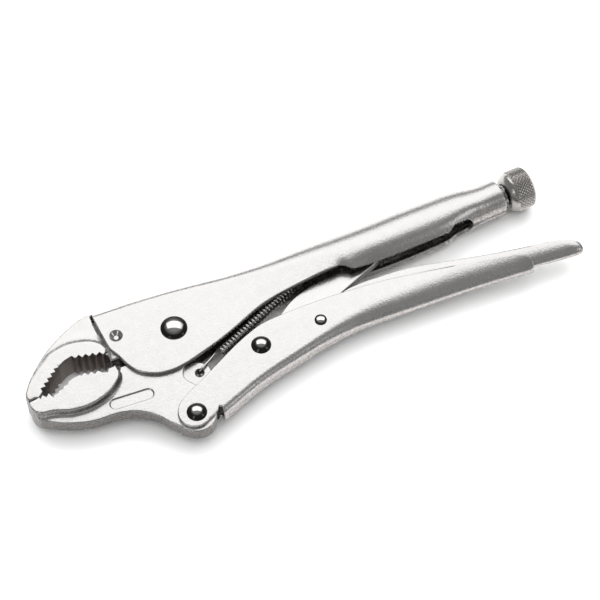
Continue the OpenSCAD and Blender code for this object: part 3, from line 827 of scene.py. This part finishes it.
def upper_jaw():
    """The fixed jaw, and its toothed edge."""
    side = smooth_line([[-71, -7.3], [-71.2, -4.6], [-70.4, -2.4], [-68.4, -0.2],
                        [-63.3, 4.5], [-58.1, 8], [-53.8, 10.7], [-50.1, 11.6],
                        [-46.3, 12], [-42.3, 11.5], [-37.7, 10.1], [-34.6, 8.4],
                        [-32.3, 6], [-31, 2.7]])
    head = np.vstack([UPPER_GRIP, side])
    back = smooth_line([[-70.4, -2.4], [-66.5, 2.8], [-62, 7.4], [-57, 11.8], [-52.2, 15.2],
                        [-46.3, 18.4], [-40.5, 21], [-35, 22.7], [-30.6, 23.3]])
    shoulder = np.vstack([back, [[-30.6, 3], [-34, 6], [-46, 8], [-56, 5]]])
    tang = np.vstack([[[-34, 6], [-31, -2.6]], arc((0, 0), DISC_R + 0.4, 191, 127, 16),
                      [[-9, 18.2], [-31, 19.3], [-34, 15]]])
    head_loop = closed(head)
    outline = closed(union([head_loop, closed(shoulder), closed(tang)]))

    def height(p):
        away = distance(p, side) * np.where(inside(p, head_loop), -1, 1)
        slope = np.interp(away, SLOPE_AT, SLOPE_DROP)
        between_cheeks = np.interp(p[:, 0], [-31.2, -30.7], [0, 1])
        return HEAD_HALF - slope - 1.4 * between_cheeks * np.interp(away, [0.5, 2.5], [0, 1])

    def radius(p):
        return np.interp(distance(p, UPPER_GRIP), [0.3, 1.5], [0.16, 1.0])

    lines = [beside(side, -d) for d in SLOPE_AT[:5]]
    return forged(outline, height, radius, lines), UPPER_GRIP


def lower_jaw():
    """The moving jaw, and its toothed edge."""
    side = smooth_line([[-30.8, -6.6], [-30.5, -8.2], [-30.5, -10.4], [-31.2, -12.3],
                        [-33.8, -14.9], [-37.6, -17.4], [-43.1, -19.3], [-48, -19.9],
                        [-52.4, -19.6], [-56.6, -18.7], [-60.5, -17], [-64.4, -15.6],
                        [-68, -14.9], [-70.3, -13]], 0.6)
    front = smooth_line([[-70.3, -13], [-71.2, -10], [-71, -7.5]])
    head = np.vstack([LOWER_GRIP, side[1:], front[1:]])
    below = smooth_line([[-70.3, -13], [-69.6, -15.8], [-66.4, -18.1], [-62.4, -20.8],
                         [-56.7, -23.6], [-50.8, -25.7], [-46.5, -26.5], [-41.9, -26.8],
                         [-37.5, -27.4], [-33.4, -28.6], [-29.5, -30.5], [-26, -33.1],
                         [-22.8, -36.6], [-20.1, -40.8], [-17, -44.6], [-15.2, -47.2]])
    boss = arc(JAW_LEVER_AT, 8.6, 215, 390, 30)
    rear = smooth_line([[0, -38], [-2.4, -29.3], [-4.9, -25.3], [-5.6, -22.8],
                        [-4.2, -19.6], [0, -15.6], [6, -11.5]])
    web = np.vstack([below, boss, rear, [[-9, -6.6], [-28.6, -6.6], [-30, -9], [-34, -12.5],
                     [-46, -16], [-60, -13]]])
    disc = circle((0, 0), DISC_R, 72)
    head_loop = closed(head)
    outline = closed(union([head_loop, closed(web), disc]))
    recess = np.array([[-37.4, -22.5], [-23.0, -24.0]])
    recess_r, recess_floor_r, recess_depth = 2.8, 2.2, 0.6

    def oval(r):
        line = np.vstack([arc(recess[0], r, 84, 264, 18), arc(recess[1], r, 264, 444, 18)])
        return np.vstack([line, line[:1]])

    def height(p):
        away = distance(p, side) * np.where(inside(p, head_loop), -1, 1)
        share = np.interp(away, STEP_AT, STEP_SHARE)
        sunk = np.interp(distance(p, recess), [recess_floor_r, recess_r], [recess_depth, 0.0])
        return WEB_HALF + 3.6 * share - sunk

    def radius(p):
        return np.interp(distance(p, LOWER_GRIP), [0.3, 1.5], [0.16, 0.65])

    lines = [beside(side, -d) for d in STEP_AT] + [oval(recess_r), oval(recess_floor_r)]
    return forged(outline, height, radius, lines), LOWER_GRIP


def spring_tab():
    """The lower jaw's thin tab, with the hole that holds the spring's front hook."""
    nose = smooth_line([[0, -17], [3.4, -18.6], [5.6, -20.6], [6.4, -23], [5.6, -30]], 0.5)
    outline = np.vstack([nose, [[0, -41], [-8, -40], [-7, -16]]])
    return forged(closed(outline), lambda p: np.full(len(p), 2.0),
                  lambda p: np.full(len(p), 0.4), holes=[circle((1.4, -23.6), 1.9, 32)], steps=3)


def toggle_link():
    """The flat link, thicker round its eye, whose nose pushes on the screw."""
    eye_r, step_r = 6.3, 7.0
    upper = smooth_line([[30.6, -17.9], [44, -13], [53, -7.8], [64, -4.4], [86, 0.6],
                         [109.6, 5.4]])
    lower = smooth_line([[111.6, -1.5], [95, -6.8], [75.6, -13.7], [58, -20.6], [33, -30]])
    bar = np.vstack([upper, arc((110.4, 1.9), 3.6, 100, -70, 20), lower])[::-1]
    outline = closed(union([closed(bar), circle(LINK_AT, eye_r, 48)]), 1.2)

    def height(p):
        return np.interp(np.linalg.norm(p - LINK_AT, axis=1), [eye_r, step_r], [3.4, 2.1])

    rings = [arc(LINK_AT, r, -30, 20, 12) for r in (eye_r, step_r)]
    return forged(outline, height, lambda p: np.full(len(p), 0.5), rings)


def dome(r, height, base, rows=14):
    """[radius, z] from the top of a button head down to its foot."""
    ball = (r * r + height * height) / (2 * height)
    rim = 0.94 * r
    cap = [(s, base + height - ball + math.sqrt(ball * ball - s * s))
           for s in np.linspace(0, rim, rows)]
    return cap + [(0.975 * r, base + 0.6 * (cap[-1][1] - base)), (r, base + 0.02 * r), (r, base)]


def rivet(at, shank_r, head_r, height, grip):
    """A rivet with a button head on each side; grip is half the thickness that it holds."""
    head = dome(head_r, height, grip)
    profile = head + [(shank_r, grip), (shank_r, -grip)] + [(a, -z) for a, z in head[::-1]]
    return turned(at, profile)


PIN_R = 3.0


def punched_pin():
    """The pin that holds the upper jaw's tang, with a conical punch mark in each end."""
    r, face, depth = PIN_R, 5.5, 2.6
    end = [(0, face - depth), (0.25, face - depth + 0.1), (r - 0.55, face - 0.15),
           (r - 0.3, face), (r - 0.12, face + 0.08), (r, face - 0.1)]
    return turned(PIN_AT, end + [(a, -z) for a, z in end[::-1]])


# ---- Screw, knob and spring ---------------------------------------------------------------

SCREW_Y = 1.9
SCREW_TIP, KNOB_START, KNOB_END = 117.2, 166.25, 178.7


def threaded_screw():
    """A screw with a real helical thread of 1.5 mm pitch."""
    pitch, crest_r, root_r, per_turn, segments = 1.5, 4.9, 4.12, 10, 64
    xs = np.arange(SCREW_TIP + 0.3, KNOB_START, pitch / per_turn)
    theta = np.linspace(0, 2 * math.pi, segments, endpoint=False)
    verts, rings = [(SCREW_TIP, 0, 0)], [[0] * segments]
    for x in [SCREW_TIP, *xs, KNOB_START]:
        phase = (x / pitch - theta / (2 * math.pi)) % 1.0
        wave = np.clip(np.abs(2 * phase - 1) * 1.45 - 0.22, 0, 1)
        cap = crest_r - 1.0 * max(0.0, 1 - (x - SCREW_TIP) / 1.2)
        r = np.minimum(root_r + (crest_r - root_r) * wave, cap)
        rings.append(list(range(len(verts), len(verts) + segments)))
        verts += [(x, a * math.cos(t), a * math.sin(t)) for a, t in zip(r, theta)]
    rings.append([len(verts)] * segments)
    verts.append((KNOB_START, 0, 0))
    return np.array(verts) + [0, SCREW_Y, 0], ring_faces(rings)


def knurled_knob():
    """A knob with a plain conical collar and raised diamonds cut by two crossing spirals."""
    outer, bore, diamonds, fine = 9.7, 4.95, 34, 8
    start, end = KNOB_START, KNOB_END
    knurl_start, knurl_end = start + 3.4, end - 1.3
    length, deep = 1.75, 0.7
    segments = diamonds * fine
    theta = np.linspace(0, 2 * math.pi, segments, endpoint=False)
    rows = [(start + 0.9, bore), (start + 0.1, bore + 0.5), (start, bore + 1.0),
            (start, outer - 2.7), (start + 0.25, outer - 2.25), (start + 1.9, outer - 0.85),
            (start + 2.6, outer - 0.62), (start + 3.0, outer - 0.62),
            (start + 3.15, outer - 0.8)]
    verts, rings = [], []

    def ring(x, r):
        rings.append(list(range(len(verts), len(verts) + segments)))
        radii = np.broadcast_to(r, theta.shape)
        verts.extend((x, a * math.cos(t), a * math.sin(t)) for a, t in zip(radii, theta))

    for x, r in rows:
        ring(x, r)
    for x in np.arange(knurl_start, knurl_end + 0.01, length / fine):
        u = (theta / (2 * math.pi) * diamonds + (x - start) / length) % 1.0
        v = (theta / (2 * math.pi) * diamonds - (x - start) / length) % 1.0
        peak = np.minimum(1 - np.abs(2 * u - 1), 1 - np.abs(2 * v - 1))
        fade = min(1.0, (x - knurl_start) / 0.5 + 0.3)
        ring(x, outer - deep + deep * np.clip(peak * 1.2, 0, 1) * fade)
    for x, r in ((end - 1.0, outer - 0.75), (end - 0.25, outer - 1.6), (end, outer - 2.0),
                 (end, outer - 3.2), (end - 0.35, outer - 3.7), (end - 0.35, 0.6)):
        ring(x, r)
    rings.append([len(verts)] * segments)
    verts.append((end - 0.35, 0, 0))
    verts, faces = np.array(verts), ring_faces(rings)
    middle = np.array([verts[list(f)].mean(0) for f in faces])
    r = np.hypot(middle[:, 1], middle[:, 2])
    # Painted shade: the sunken faces between the diamonds get the near-black groove colour
    groove_shade = (middle[:, 0] > knurl_start) & (middle[:, 0] < knurl_end) & (r < outer - 0.4)
    return verts + [0, SCREW_Y, 0], faces, groove_shade


COIL_START, COIL_END = np.array([14.5, -17.2, 0]), np.array([61, 1.6, 0])


def return_spring():
    """The coil spring, hooked in the tab's hole at the front and on its anchor at the back."""
    axis = unit(COIL_END - COIL_START)
    side = np.array([-axis[1], axis[0], 0])
    turns, per_turn, coil_r = 28, 20, 2.3
    u = np.linspace(0, 1, turns * per_turn + 1)
    a = 2 * math.pi * turns * u
    coil = (COIL_START + u[:, None] * (COIL_END - COIL_START)
            + coil_r * (np.cos(a)[:, None] * side + np.sin(a)[:, None] * [0, 0, 1]))
    front = smooth_line([[2.2, -23.3, -3.0], [1.6, -23.3, -1.2], [1.5, -23.2, 0.8],
                         [2.2, -22.9, 2.7], [4.2, -22.0, 3.1], [8.4, -19.6, 2.5],
                         [11.6, -17.2, 1.4], coil[0]], 0.4)
    rear = smooth_line([coil[-1], [63, 4.0, 0], [65.2, 3.9, 0], [67, 3.8, 0],
                        [69, 3.2, 0.4], [69.4, 1.8, 0.6]], 0.5)
    return tube(np.vstack([front[:-1], coil, rear[1:]]), 0.55, 10)


# ---- The assembly -------------------------------------------------------------------------

for name, made, body in (("upper_handle_shell", upper_handle(), "upper_handle"),
                         ("lower_handle_channel", lower_handle(), "lower_handle"),
                         ("release_lever_channel", release_lever(), "release_lever")):
    verts, faces, rim = made
    # The cut rim faces, which take the near-black painted rim shade
    sheared = np.arange(len(faces)) >= len(faces) - rim
    add(name, verts, faces, HANDLE, body, "handle_sheet", [body], other=sheared, second=SHADED_RIM,
        hole=(PIN_AT, PIN_R) if body == "upper_handle" else None)


def add_jaw(name, made, body, nodes):
    """A jaw, with the darker hardened metal on the flanks of its teeth."""
    (verts, faces), grip = made
    jaw = add(name, verts, faces, FORGED, body, "forged_jaw", nodes)
    jaw.data.materials.append(GRIP)
    middle = np.array([tuple(p.center) for p in jaw.data.polygons])
    across = np.array([abs(p.normal.z) for p in jaw.data.polygons])
    at = (middle - PIVOT)[:, :2] / MM
    toothed = (distance(at, grip) < 0.45) & (across < 0.5)
    jaw.data.polygons.foreach_set("material_index", toothed.astype(np.int32))
    return jaw


add_jaw("upper_jaw_forging", upper_jaw(), "upper_handle", ["upper_jaw"])
add_jaw("lower_jaw_forging", lower_jaw(), "lower_jaw", ["lower_jaw"])
add("lower_jaw_spring_tab", *spring_tab(), FORGED, "lower_jaw", "forged_jaw")
add("toggle_link_bar", *toggle_link(), LINK, "toggle_link", "link_steel", ["toggle_link"])

for name, node, body, *sizes in (
        ("main_pivot_button", "main_pivot_rivet", "upper_handle", 4, 5.95, 2.3, 5.5),
        ("jaw_lever_button", "jaw_lever_rivet", "lower_handle", 2.9, 4.4, 2.3, 5.1),
        ("link_button", "link_rivet", "lower_handle", 2.9, 4.4, 2.3, 5.1),
        ("release_button", "release_rivet", "lower_handle", 1.7, 2.8, 1.0, 5.1)):
    add(name, *rivet(centre(node), *sizes), RIVET, body, "polished_rivet", [node])
add("punched_jaw_pin", *punched_pin(), PIN, "upper_handle", "polished_rivet",
    ["upper_jaw_pin"])

add("threaded_screw", *threaded_screw(), SCREW, "adjusting_screw", "screw_steel",
    ["adjusting_screw"])
verts, faces, groove_shade = knurled_knob()
# The knob's grooves take the painted groove shade
add("diamond_knob", verts, faces, KNOB, "knob", "knob_steel", ["knurled_knob"], sharp=24,
    other=groove_shade, second=GROOVE_SHADE)
spring = add("coiled_return_spring", *return_spring(), SPRING, "upper_handle", "spring_wire",
             ["return_spring"], ride=False)
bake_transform(spring)

# Two plain parts inside the tube are shown as the frame has them
for node, material in (("thread_bushing", SCREW), ("spring_anchor", LINK)):
    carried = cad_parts[node]
    carried.data.materials.clear()
    carried.data.materials.append(material)

# ---- Floor, light and camera --------------------------------------------------------------

FLOOR_REACH, FLOOR_BELOW = 3, 0.0002
floor_mesh = bpy.data.meshes.new("floor")
floor_mesh.from_pydata([(x * FLOOR_REACH, y * FLOOR_REACH, 0)
                        for x, y in ((-1, -1), (1, -1), (1, 1), (-1, 1))], [], [(0, 1, 2, 3)])
floor = bpy.data.objects.new("floor", floor_mesh)
floor.location.z = cad_low.z - FLOOR_BELOW
bpy.context.scene.collection.objects.link(floor)
ground = Nodes("pale floor")
ground.feed("Base Color", ground.mixed(ground.noise(400, 2.0), (0.88, 0.88, 0.88),
                                       (0.91, 0.91, 0.91)))
ground.feed("Roughness", ground.ranged(ground.noise(60, 2.0), 0.6, 0.75))
floor_mesh.materials.append(ground.material)

world = bpy.data.worlds.new("studio")
world.use_nodes = True
sky = world.node_tree
direction = sky.nodes.new("ShaderNodeTexCoord")
height = sky.nodes.new("ShaderNodeSeparateXYZ")
ramp = sky.nodes.new("ShaderNodeValToRGB")
sky.links.new(direction.outputs["Generated"], height.inputs[0])
sky.links.new(height.outputs[2], ramp.inputs[0])
sky.links.new(ramp.outputs[0], sky.nodes["Background"].inputs[0])
for element, (position, tone) in zip(ramp.color_ramp.elements, ((0.0, 0.36), (0.5, 0.24))):
    element.position, element.color = position, (tone, tone, tone, 1)
bpy.context.scene.world = world

AIM = Vector((0, 0, 0.01))


def softbox(name, towards, away, width, depth, brightness):
    """A rectangular area light of the given radiance, away metres off in that direction."""
    light = bpy.data.lights.new(name, "AREA")
    light.shape = "RECTANGLE"
    light.size, light.size_y = width, depth
    light.energy = brightness * math.pi * width * depth
    obj = bpy.data.objects.new(name, light)
    obj.location = AIM + Vector(towards).normalized() * away
    obj.rotation_euler = (AIM - obj.location).to_track_quat("-Z", "Y").to_euler()
    bpy.context.scene.collection.objects.link(obj)
    return obj


softbox("overhead softbox", (0.28, 0.58, 0.77), 1.5, 2.4, 1.32, 1.3)
softbox("left strip", (-0.95, -0.5, 0.75), 1.3, 0.28, 0.5, 1.8)
softbox("right strip", (0.85, -0.75, 0.7), 1.3, 0.28, 0.5, 1.8)
floor_light = softbox("floor light", (0.1, 0.25, 0.95), 1.5, 3.2, 3.2, 2.0)
only_floor = bpy.data.collections.new("lit by the floor light")
only_floor.objects.link(floor)
floor_light.light_linking.receiver_collection = only_floor

# The photograph's viewing angle
AZIMUTH, ELEVATION, AWAY = math.radians(-26), math.radians(58), 0.877
target = Vector(place((55.024, -12.587, 8.003)))
back = Vector((math.sin(AZIMUTH) * math.cos(ELEVATION), -math.cos(AZIMUTH) * math.cos(ELEVATION),
               math.sin(ELEVATION)))
camera_data = bpy.data.cameras.new("camera")
camera_data.lens, camera_data.sensor_width = 120, 36
camera = bpy.data.objects.new("camera", camera_data)
camera.location = target + back * AWAY
camera.rotation_euler = (-back).to_track_quat("-Z", "Y").to_euler()
bpy.context.scene.collection.objects.link(camera)
bpy.context.scene.camera = camera
bpy.context.scene.view_settings.view_transform = "Standard"
